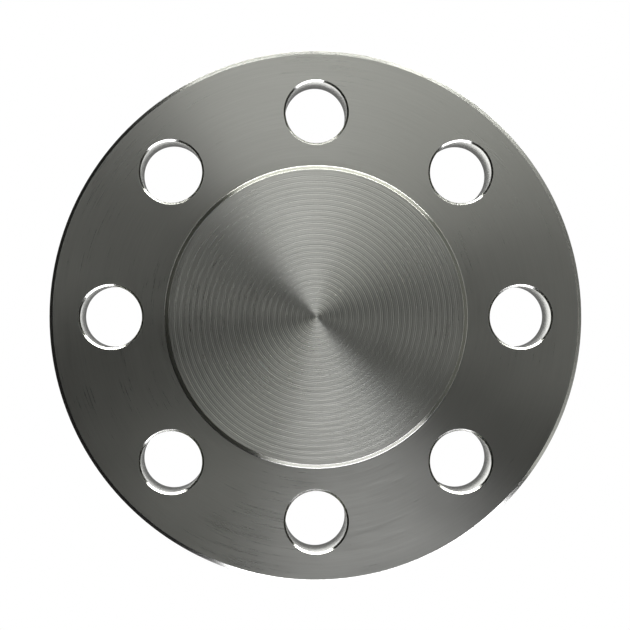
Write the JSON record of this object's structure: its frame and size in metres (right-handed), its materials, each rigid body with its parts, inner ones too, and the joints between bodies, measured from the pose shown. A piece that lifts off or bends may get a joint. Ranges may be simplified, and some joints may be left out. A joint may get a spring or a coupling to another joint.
{
  "type": "blind flange",
  "caption": "Raised-face blind flange: a solid machined steel disc that closes a pipe end, with a serrated round sealing face and a ring of through bolt holes.",
  "frame": {"origin": "centre of the flat back face, on the flange's axis", "axes": "+Z along the flange's axis, out of the raised face; +Y through the centre of one bolt hole; +X completes the right-handed frame and also passes through a bolt hole"},
  "size_m": [0.165, 0.165, 0.0223],
  "materials": {
    "stainless_steel": "fine turned finish, serrated on the raised face, with bright edges"
  },
  "bodies": {
    "root": {"blind_flange": "stainless_steel"}
  },
  "joints": []
}
